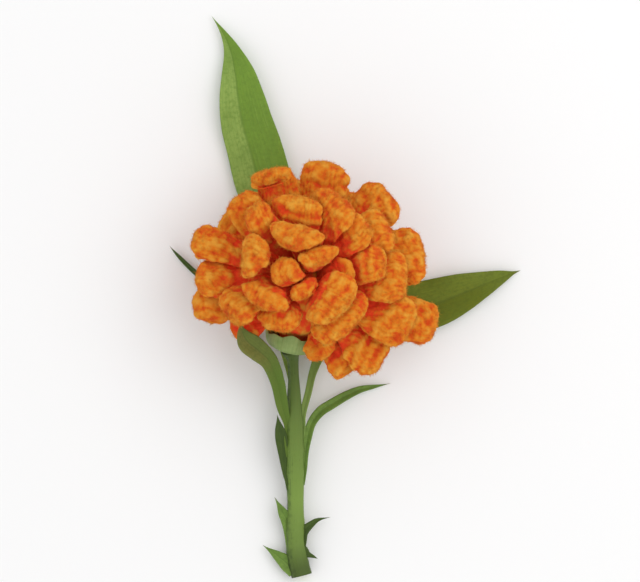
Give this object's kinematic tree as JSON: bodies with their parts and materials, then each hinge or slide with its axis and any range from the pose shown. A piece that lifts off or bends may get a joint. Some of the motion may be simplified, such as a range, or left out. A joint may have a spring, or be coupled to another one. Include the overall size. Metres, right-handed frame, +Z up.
{
  "type": "knitted chrysanthemum flower",
  "caption": "Chrysanthemum lying on its side: a round head of thick knitted petals, rolled over at their ends, in a green cup on a cut stem with long pointed leaves and small bracts.",
  "frame": {"origin": "on the table, under the middle of the box round the whole flower", "axes": "+Y from the cut end of the stem to the tip of the long leaf, +X to the right of that, +Z up from the table, the way the bloom faces"},
  "size_m": [0.1386, 0.2219, 0.0686],
  "materials": {
    "wool": "knitted orange wool",
    "leaf": "fresh green leaf, slightly glossy",
    "stem": "fresh green stem, matte",
    "calyx": "pale green with a whitish bloom"
  },
  "bodies": {
    "root": {"back_petal_1": "wool", "back_petal_2": "wool", "back_petal_3": "wool", "back_petal_4": "wool", "back_petal_5": "wool", "back_petal_6": "wool", "back_petal_7": "wool", "back_petal_8": "wool", "back_petal_9": "wool", "bloom_core": "wool", "bottom_left_leaf": "leaf", "bottom_right_stub": "leaf", "calyx": "calyx", "collar_petal_1": "wool", "collar_petal_2": "wool", "collar_petal_3": "wool", "heart_petal_1": "wool", "heart_petal_2": "wool", "heart_petal_3": "wool", "heart_petal_4": "wool", "heart_petal_5": "wool", "inner_petal_1": "wool", "inner_petal_2": "wool", "inner_petal_3": "wool", "inner_petal_4": "wool", "inner_petal_5": "wool", "inner_petal_6": "wool", "inner_petal_7": "wool", "inner_petal_8": "wool", "left_bract": "leaf", "left_leaf": "leaf", "left_thin_leaf": "leaf", "lower_left_bract": "leaf", "lower_right_bract": "leaf", "middle_petal_1": "wool", "middle_petal_2": "wool", "middle_petal_3": "wool", "middle_petal_4": "wool", "middle_petal_5": "wool", "middle_petal_6": "wool", "middle_petal_7": "wool", "middle_petal_8": "wool", "middle_right_leaf": "leaf", "outer_petal_1": "wool", "outer_petal_2": "wool", "outer_petal_3": "wool", "outer_petal_4": "wool", "outer_petal_5": "wool", "outer_petal_6": "wool", "outer_petal_7": "wool", "outer_petal_8": "wool", "right_leaf": "leaf", "stem": "stem", "under_petal_1": "wool", "under_petal_2": "wool", "under_petal_3": "wool", "under_petal_4": "wool", "under_petal_5": "wool", "under_petal_6": "wool", "upper_leaf": "leaf"}
  },
  "joints": []
}
